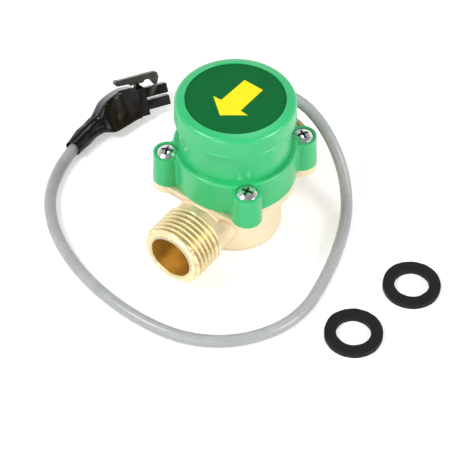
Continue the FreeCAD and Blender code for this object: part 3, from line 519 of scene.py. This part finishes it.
# Lid: the rounding and the fall of its rim, a bead over a thin gap at its lower edge, and the label
CAP_ROLL = 1.6
CAP_FALL = 0.95
CAP_GAP = 0.2
BEAD_PROUD = 0.13
BEAD_HEIGHT = 0.75
BEAD_NECK_IN = 0.08
BEAD_NECK_HEIGHT = 1.0
SOFT_EDGE = 0.3
BEAD_TOP_EDGE = 0.2
LABEL_EDGE = 0.08
CAP_ARC_STEPS = 10
CAP_SEGMENTS = 160
LABEL_ARC_STEPS = 3
LABEL_SEGMENTS = 128


def cap_shell():
    low = CAP_SEAT_Z + CAP_GAP
    profile = rounded([
        (0, HOUSING_TOP), (SKIRT_IN_R, HOUSING_TOP), (SKIRT_IN_R, low),
        (CAP_R + BEAD_PROUD, low, SOFT_EDGE), (CAP_R + BEAD_PROUD, low + BEAD_HEIGHT, BEAD_TOP_EDGE),
        (CAP_R - BEAD_NECK_IN, low + BEAD_NECK_HEIGHT, SOFT_EDGE), (CAP_R, CAP_TOP - CAP_FALL, CAP_ROLL),
        (LABEL_RECESS_R, CAP_TOP, SOFT_EDGE), (LABEL_RECESS_R, LABEL_Z), (0, LABEL_Z),
    ], CAP_ARC_STEPS)
    add_piece("cap_shell", lathe(profile, CAP_SEGMENTS), ("green_plastic",), ("housing_cap",))


def label_disc():
    profile = rounded([
        (0, LABEL_Z), (LABEL_R, LABEL_Z), (LABEL_R, LABEL_TOP, LABEL_EDGE), (0, LABEL_TOP),
    ], LABEL_ARC_STEPS)
    add_piece("label_disc", lathe(profile, LABEL_SEGMENTS), ("label_film",), ("cap_label",))


ARROW = [
    (-2.47, 8.22), (4.65, 7.87), (4.32, -3.47), (7.24, -3.81), (0.4, -8.7), (-6.08, -3.1), (-3.14, -3.04),
]
ARROW_SUNK = 0.02
ARROW_PROUD = 0.025


def flow_arrow():
    """A plain arrow that points out of the outlet, printed a hair proud of the label."""
    bm = prism([(x, y, LABEL_TOP - ARROW_SUNK) for x, y in ARROW],
               [(x, y, LABEL_TOP + ARROW_PROUD) for x, y in ARROW])
    add_piece("flow_arrow", bm, ("arrow_print",))


# Screws: each boss's direction from the centre, and how far its cross is turned
SCREW_TURNS = {(-1, -1): 20.0, (1, -1): 8.0, (1, 1): 62.0, (-1, 1): 35.0}
SCREW_HEAD_R = 3.3
SHANK_POINT = 0.2
DOME_STEPS = 24
DOME_DROP = 1.15
DOME_POWER = 2.6
CROSS_HALF_LENGTH = 2.3
CROSS_HALF_WIDTH = 0.4
CROSS_FOOT_HALF_LENGTH = 0.9
CROSS_FOOT_HALF_WIDTH = 0.25
CROSS_DEPTH = 1.3
CROSS_OVERRUN = 0.1
# The recess's painted shade starts this far below the dome and this far in from the head's rim
RECESS_BELOW_DOME = 0.1
RECESS_IN_FROM_RIM = 0.5
SCREW_SEGMENTS = 64


def dome_z(r):
    return SCREW_HEAD_TOP - DOME_DROP * (r / SCREW_HEAD_R) ** DOME_POWER


def cross_tool(angle):
    """Two tapered blades that cross, and cut the driver's recess."""
    tool = bmesh.new()
    for quarter in (0, 90):
        spin = Matrix.Rotation(math.radians(quarter + angle), 4, "Z")
        rings = []
        for a, b, z in ((CROSS_FOOT_HALF_LENGTH, CROSS_FOOT_HALF_WIDTH, SCREW_HEAD_TOP - CROSS_DEPTH),
                        (CROSS_HALF_LENGTH, CROSS_HALF_WIDTH, SCREW_HEAD_TOP + CROSS_OVERRUN)):
            rings.append([spin @ Vector((x, y, z)) for x, y in ((-a, -b), (a, -b), (a, b), (-a, b))])
        loft(tool, rings)
    return to_object("cross_tool", tool)


def pan_screws():
    """Four pan heads, each with its cross recess turned as it came to rest."""
    tip = SCREW_SEAT_Z - SCREW_SHANK_LENGTH
    profile = [
        (0, tip), (SCREW_SHANK_R - SHANK_POINT, tip), (SCREW_SHANK_R, tip + SHANK_POINT),
        (SCREW_SHANK_R, SCREW_SEAT_Z), (SCREW_HEAD_R, SCREW_SEAT_Z),
    ]
    for k in range(DOME_STEPS):
        r = SCREW_HEAD_R * math.cos(0.5 * math.pi * k / DOME_STEPS)
        profile.append((r, dome_z(r)))
    profile.append((0, SCREW_HEAD_TOP))
    bm = bmesh.new()
    for (sx, sy), angle in SCREW_TURNS.items():
        screw = to_object("screw_blank", lathe(profile, SCREW_SEGMENTS))
        combine(screw, cross_tool(angle), "DIFFERENCE", tool_crosses_itself=True)
        mesh = screw.data
        bpy.data.objects.remove(screw)
        for polygon in mesh.polygons:
            off_axis = polygon.center.xy.length
            under_dome = SCREW_SEAT_Z < polygon.center.z < dome_z(off_axis) - RECESS_BELOW_DOME
            # Faces deep in the cross take the dark recess finish, painted shade.
            polygon.material_index = int(off_axis < SCREW_HEAD_R - RECESS_IN_FROM_RIM and under_dome)
        mesh.transform(Matrix.Translation((sx * SCREW_PITCH, sy * SCREW_PITCH, 0)))
        bm.from_mesh(mesh)
    add_piece("pan_screws", bm, ("screw_chrome", "recess_shade_chrome"), ("housing_screws",), angle=35.0)


# Washers: how far their rims waver, slowly and in finer waves, and how that noise is laid round them
WAVER = 0.12
FINE_WAVER = 0.05
FINER = 4
NOISE_R = 3
NOISE_RISE = 0.3
NOISE_STEP = 7.0
WASHER_EDGES = (0.12, 0.15, 0.2, 0.15)
WASHER_ARC_STEPS = 4
WASHER_SEGMENTS = 144


def ragged_washers():
    """Rubber rings with rims that waver a little, as a cut edge does."""
    for n, (name, (x, y)) in enumerate(WASHERS.items()):
        def waver(spot, angle, seed=n):
            height = NOISE_STEP * seed + spot.z * NOISE_RISE
            around = Vector((math.cos(angle) * NOISE_R, math.sin(angle) * NOISE_R, height))
            amount = WAVER * noise.noise(around) + FINE_WAVER * noise.noise(around * FINER)
            grown = 1 + amount / max(spot.xy.length, 1.0)
            return Vector((spot.x * grown, spot.y * grown, spot.z))
        outline = [
            (WASHER_HOLE_R, 0.0), (WASHER_R - WAVER, 0.0),
            (WASHER_R - WAVER, WASHER_THICK), (WASHER_HOLE_R, WASHER_THICK),
        ]
        profile = rounded([(*spot, edge) for spot, edge in zip(outline, WASHER_EDGES)], WASHER_ARC_STEPS)
        bm = lathe(profile, WASHER_SEGMENTS, Matrix.Translation((x, y, 0)), waver)
        add_piece("rubber_" + name, bm, ("washer_rubber",), (name,), angle=60.0)


# Sleeve sections from the mouth to the plug: centre, heading, half thickness, half height, corner
SLEEVE = [
    ((-60.3, -8.2, 3.25), 92.0, 2.90, 2.90, 2.6),
    ((-60.6, -2.0, 3.55), 90.0, 3.15, 3.15, 2.6),
    ((-60.3, 3.2, 3.9), 82.0, 3.00, 3.20, 2.2),
    ((-59.7, 5.4, 4.5), 76.0, 3.10, 3.60, 1.6),
    ((-58.4, 8.4, 5.95), 67.0, 3.45, 5.50, 0.7),
    ((-57.06, 13.64, 6.46), 58.0, 3.42, 6.10, 0.5),
    ((-55.91, 17.94, 6.02), 57.0, 3.27, 5.70, 0.45),
    ((-54.85, 20.18, 5.5), 57.0, 2.95, 5.20, 0.45),
]
SLEEVE_STEPS = 9
ARC_STEPS = 6
SIDE_STEPS = 11
# The open mouth's inner surface: rings in from the edge, and its radius there
MOUTH = [(0, 2.5), (2, 2.35), (5, 2.1), (9, 1.9)]
MOUTH_CORNER = 0.85
# Folds: height at the plug, and what the narrow part adds to it; noise per unit outwards and along
SLOW_FOLD = (0.02, 0.26)
SLOW_OUT = 2.2
SLOW_ALONG = 1.6
FINE_FOLD = (0.01, 0.17)
FINE_OUT = 5.0
FINE_ALONG = 0.9
FINE_SHIFT = 3.0
# Pulled-in creases along the narrow part: where round it, and how deep
CREASES = [(0.5, 0.4), (2.4, 0.3), (4.0, 0.35), (5.4, 0.25)]
CREASE_WIDTH = 0.14
CREASE_TWIST = 0.25
NARROW_UNTIL = 3.4
SKIN_INSET = 0.1
LOWEST = 0.05


def sleeve_ring(row):
    """Points of a rounded rectangle, square to the row's heading, as many on each side."""
    centre, heading, half_thick, half_height, corner = row
    flat_y, flat_z = half_thick - corner, half_height - corner
    arcs = []
    for quarter, (sy, sz) in enumerate(((1, 1), (-1, 1), (-1, -1), (1, -1))):
        for k in range(ARC_STEPS + 1):
            angle = 0.5 * math.pi * (quarter + k / ARC_STEPS)
            y = sy * flat_y + corner * math.cos(angle)
            z = sz * flat_z + corner * math.sin(angle)
            arcs.append(Vector((0, y, z)))
    turn = plug_turn(heading)
    ring = []
    for n, spot in enumerate(arcs):
        ring.append(Vector(centre) + turn @ spot)
        if n % (ARC_STEPS + 1) == ARC_STEPS:
            after = arcs[(n + 1) % len(arcs)]
            for k in range(1, SIDE_STEPS):
                ring.append(Vector(centre) + turn @ spot.lerp(after, k / SIDE_STEPS))
    return ring


def between(rows, t):
    """The row at parameter t along a smooth curve through the rows."""
    i = min(int(t), len(rows) - 2)
    u = t - i
    picks = [rows[max(0, min(len(rows) - 1, i + k))] for k in (-1, 0, 1, 2)]

    def blend(p0, p1, p2, p3):
        return 0.5 * (2 * p1 + (p2 - p0) * u + (2 * p0 - 5 * p1 + 4 * p2 - p3) * u * u
                      + (3 * p1 - p0 - 3 * p2 + p3) * u ** 3)
    centre = tuple(blend(*(p[0][axis] for p in picks)) for axis in range(3))
    return (centre, *(blend(*(p[n] for p in picks)) for n in range(1, 5)))


def fold_at(out, around, t, narrow):
    """How far the skin stands out there: soft folds less the creases, most in the narrow part."""
    slow = noise.noise(Vector((out.x * SLOW_OUT, out.y * SLOW_OUT, t * SLOW_ALONG + out.z * SLOW_OUT)))
    fine = noise.noise(Vector((out.x * FINE_OUT, t * FINE_ALONG, out.z * FINE_OUT + FINE_SHIFT)))
    fold = (SLOW_FOLD[0] + SLOW_FOLD[1] * narrow) * slow
    fold += (FINE_FOLD[0] + FINE_FOLD[1] * narrow) * fine
    for place, depth in CREASES:
        turn = math.sin((around - place - CREASE_TWIST * t) / 2)
        fold -= depth * narrow * math.exp(-(turn / CREASE_WIDTH) ** 2)
    return fold


def shrink_sleeve():
    """Heat-shrunk skin: open mouth round the cable, creased narrow part, snug over the plug's tail."""
    count = (len(SLEEVE) - 1) * SLEEVE_STEPS
    rings = []
    for radius_row, radius in reversed(MOUTH):
        row = between(SLEEVE, radius_row / SLEEVE_STEPS)
        rings.append(sleeve_ring((row[0], row[1], radius, radius, MOUTH_CORNER * radius)))
    for k in range(count + 1):
        t = k / SLEEVE_STEPS
        row = between(SLEEVE, t)
        centre = Vector(row[0])
        fade = min(1.0, (count - k) / SLEEVE_STEPS)
        narrow = min(1.0, max(0.0, NARROW_UNTIL - t))
        points = sleeve_ring(row)
        ring = []
        for n, point in enumerate(points):
            out = (point - centre).normalized()
            fold = fold_at(out, math.tau * n / len(points), t, narrow)
            moved = point + out * (fold - SKIN_INSET) * fade
            moved.z = max(moved.z, LOWEST)
            ring.append(moved)
        rings.append(ring)
    bm = bmesh.new()
    loft(bm, rings)
    add_piece("shrink_skin", bm, ("shrink_sleeve",), ("heat_shrink_sleeve",), angle=50.0)


# Plug and latch: edges bent by more than these angles in degrees are bevelled by these widths
PLUG_SHARP = 30
PLUG_BEVEL = 0.18
LATCH_SHARP = 35
LATCH_BEVEL = 0.12
# Faces of the plug that meet at a smaller angle in degrees are joined first
FLAT_ANGLE = 1.0


def plug_body():
    """The connector housing's own shape with its edges rounded off."""
    bm = cad_copy("connector_housing")
    bmesh.ops.dissolve_limit(bm, angle_limit=math.radians(FLAT_ANGLE), verts=bm.verts, edges=bm.edges)
    bevel_edges(bm, sharp_edges(bm, PLUG_SHARP), PLUG_BEVEL)
    add_piece("plug_body", bm, ("black_plastic",), ("connector_housing",), angle=40.0)


# Latch outline in the plug's (x, z), on each side of the saddle, and its pins' x, z, radius, half length
LATCH_TAIL = [(-8.4, 8.9), (-8.4, 7.0), (-5.0, 6.85), (-4.2, 6.15)]
LATCH_NOSE = [
    (0.2, 6.15), (1.0, 6.9), (2.6, 6.9), (4.0, 4.5), (4.8, 4.5), (5.9, 6.7), (5.75, 8.2), (4.9, 8.9),
]
LATCH_PINS = [(-8.5, 8.05, 0.95, 1.8), (5.0, 8.0, 0.8, 1.7)]
PIN_EDGE = 0.15
PIN_ARC_STEPS = 3
PIN_SEGMENTS = 32
# The saddle's arc over the fulcrum: first angle and sweep in half turns
SADDLE_FIRST = 0.04
SADDLE_SWEEP = 0.92
SADDLE_STEPS = 10


def cross_pin(x, z, radius, half_length):
    place = Matrix.Translation((x, 0, z)) @ Matrix.Rotation(math.radians(90), 4, "X")
    profile = rounded([
        (0, -half_length), (radius, -half_length, PIN_EDGE), (radius, half_length, PIN_EDGE),
        (0, half_length),
    ], PIN_ARC_STEPS)
    return to_object("latch_pin", lathe(profile, PIN_SEGMENTS, place))


def rocking_latch():
    """Straight lever with a cross pin at each end, a saddle over the fulcrum and a hook."""
    x0, z0 = LATCH_PIVOT
    saddle = []
    for k in range(SADDLE_STEPS + 1):
        angle = math.pi * (SADDLE_FIRST + SADDLE_SWEEP * k / SADDLE_STEPS)
        saddle.append((x0 - LATCH_HOLE_R * math.cos(angle), z0 + LATCH_HOLE_R * math.sin(angle)))
    outline = LATCH_TAIL + saddle + LATCH_NOSE
    bar = prism([(x, -LATCH_HALF_WIDTH, z) for x, z in outline],
                [(x, LATCH_HALF_WIDTH, z) for x, z in outline])
    bmesh.ops.recalc_face_normals(bar, faces=bar.faces)
    bevel_edges(bar, sharp_edges(bar, LATCH_SHARP), LATCH_BEVEL)
    lever = to_object("latch_bar", bar)
    for pin in LATCH_PINS:
        combine(lever, cross_pin(*pin), "UNION")
    bm = mesh_of(lever)
    place = Matrix.Translation(PLUG_FRONT) @ plug_turn(PLUG_HEADING)
    bmesh.ops.transform(bm, matrix=place, verts=bm.verts)
    add_piece("plug_latch", bm, ("latch_plastic",), ("connector_latch",), body="latch", angle=40.0)


def add_lead():
    data = bpy.data.curves.new("lead", "CURVE")
    data.dimensions = "3D"
    data.bevel_depth = CABLE_R * MM
    data.bevel_resolution = 10
    data.resolution_u = 24
    data.use_fill_caps = True
    spline = data.splines.new("NURBS")
    spline.points.add(len(ROUTE) - 1)
    for point, spot in zip(spline.points, ROUTE):
        point.co = (spot[0] * MM, spot[1] * MM, spot[2] * MM, 1)
    spline.order_u = 3
    spline.use_endpoint_u = True
    lead = link(bpy.data.objects.new("lead", data))
    lead.data.materials.append(FINISHES["cable_jacket"])
    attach(lead, "valve")
    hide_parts("cable")
    return lead


# Floor: half its width in metres, its colour, and its glow, which grows with the distance in metres
FLOOR_HALF = 3.0
FLOOR_WHITE = 0.8
FLOOR_GLOW = (0.42, 1.0)
GLOW_DISTANCE = (0.2, 0.8)
# World: darker overhead by the direction's Z, and in mirrors also towards one side of the front
CEILING_Z = (0.3, 0.75)
CEILING_LEVEL = (1.0, 0.3)
FRONT_AZIMUTH = math.radians(52.0)
FRONT_FACING = (0.45, 0.85)
FRONT_LEVEL = (1.0, 0.3)
UNSEEN_AND_SEEN_LEVEL = (0.68, 1.0)
# Lamps: place in metres, width, watts
LAMPS = {
    "key_light": ((-0.32, -0.45, 0.75), 0.3, 4.1),
    "side_light": ((0.75, 0.12, 0.42), 0.4, 3.8),
    "top_light": ((-0.1, 0.33, 0.83), 0.3, 0.8),
    "front_light": ((0.12, -0.75, 0.28), 0.5, 1.7),
}
LAMP_TARGET = Vector((0, 0, 0.02))


def seen_rays(tree):
    """1 where the camera, a mirror or glass looks straight at the surface, else 0."""
    path = tree.nodes.new("ShaderNodeLightPath")
    total = path.outputs["Is Camera Ray"]
    for ray in ("Is Glossy Ray", "Is Transmission Ray"):
        total = math_node(tree, "MAXIMUM", total, path.outputs[ray])
    return total


def vector_node(tree, operation, source, second=None):
    node = tree.nodes.new("ShaderNodeVectorMath")
    node.operation = operation
    tree.links.new(source, node.inputs[0])
    if second:
        node.inputs[1].default_value = second
    return node.outputs["Value"]


def add_floor():
    """A pale floor that keeps soft shadows near the part and turns white further off."""
    bm = bmesh.new()
    bmesh.ops.create_grid(bm, x_segments=1, y_segments=1, size=FLOOR_HALF)
    floor = to_object("floor", bm)
    material = bpy.data.materials.new("floor_white")
    material.use_nodes = True
    tree = material.node_tree
    tree.nodes.clear()
    out = tree.nodes.new("ShaderNodeOutputMaterial")
    matte = tree.nodes.new("ShaderNodeBsdfDiffuse")
    matte.inputs["Color"].default_value = (FLOOR_WHITE, FLOOR_WHITE, FLOOR_WHITE, 1)
    glow = tree.nodes.new("ShaderNodeEmission")
    glow.inputs["Color"].default_value = (1, 1, 1, 1)
    place = tree.nodes.new("ShaderNodeTexCoord")
    away = vector_node(tree, "LENGTH", place.outputs["Object"])
    lift = map_range(tree, away, GLOW_DISTANCE, FLOOR_GLOW)
    tree.links.new(math_node(tree, "MULTIPLY", seen_rays(tree), lift), glow.inputs["Strength"])
    both = tree.nodes.new("ShaderNodeAddShader")
    tree.links.new(matte.outputs[0], both.inputs[0])
    tree.links.new(glow.outputs[0], both.inputs[1])
    tree.links.new(both.outputs[0], out.inputs["Surface"])
    floor.data.materials.append(material)


def add_world():
    """White where the camera sees it, softly graded where it lights or is mirrored."""
    world = bpy.data.worlds.new("studio")
    bpy.context.scene.world = world
    world.use_nodes = True
    tree = world.node_tree
    background = next(n for n in tree.nodes if n.type == "BACKGROUND")
    direction = tree.nodes.new("ShaderNodeTexCoord").outputs["Generated"]
    parts = tree.nodes.new("ShaderNodeSeparateXYZ")
    tree.links.new(direction, parts.inputs["Vector"])
    ceiling = map_range(tree, parts.outputs["Z"], CEILING_Z, CEILING_LEVEL)
    front_way = (math.sin(FRONT_AZIMUTH), -math.cos(FRONT_AZIMUTH), 0)
    facing = vector_node(tree, "DOT_PRODUCT", direction, front_way)
    front = map_range(tree, facing, FRONT_FACING, FRONT_LEVEL)
    path = tree.nodes.new("ShaderNodeLightPath")
    unmirrored = math_node(tree, "SUBTRACT", 1.0, path.outputs["Is Glossy Ray"])
    dimming = math_node(tree, "MAXIMUM", front, unmirrored)
    shade = math_node(tree, "MULTIPLY", ceiling, dimming)
    colour = math_node(tree, "MAXIMUM", shade, path.outputs["Is Camera Ray"])
    tree.links.new(colour, background.inputs["Color"])
    level = map_range(tree, seen_rays(tree), (0.0, 1.0), UNSEEN_AND_SEEN_LEVEL)
    tree.links.new(level, background.inputs["Strength"])


def add_lamps():
    for name, (spot, size, power) in LAMPS.items():
        lamp = bpy.data.lights.new(name, "AREA")
        lamp.shape = "DISK"
        lamp.size = size
        lamp.energy = power
        obj = link(bpy.data.objects.new(name, lamp))
        obj.location = spot
        obj.rotation_mode = "QUATERNION"
        obj.rotation_quaternion = (LAMP_TARGET - Vector(spot)).to_track_quat("-Z", "Y")


make_finishes()
add_camera()
lead = add_lead()
coat_nodes()
brass_body()
cap_shell()
label_disc()
flow_arrow()
pan_screws()
ragged_washers()
shrink_sleeve()
plug_body()
rocking_latch()
add_floor()
add_world()
add_lamps()
bpy.context.scene.view_settings.view_transform = "Standard"
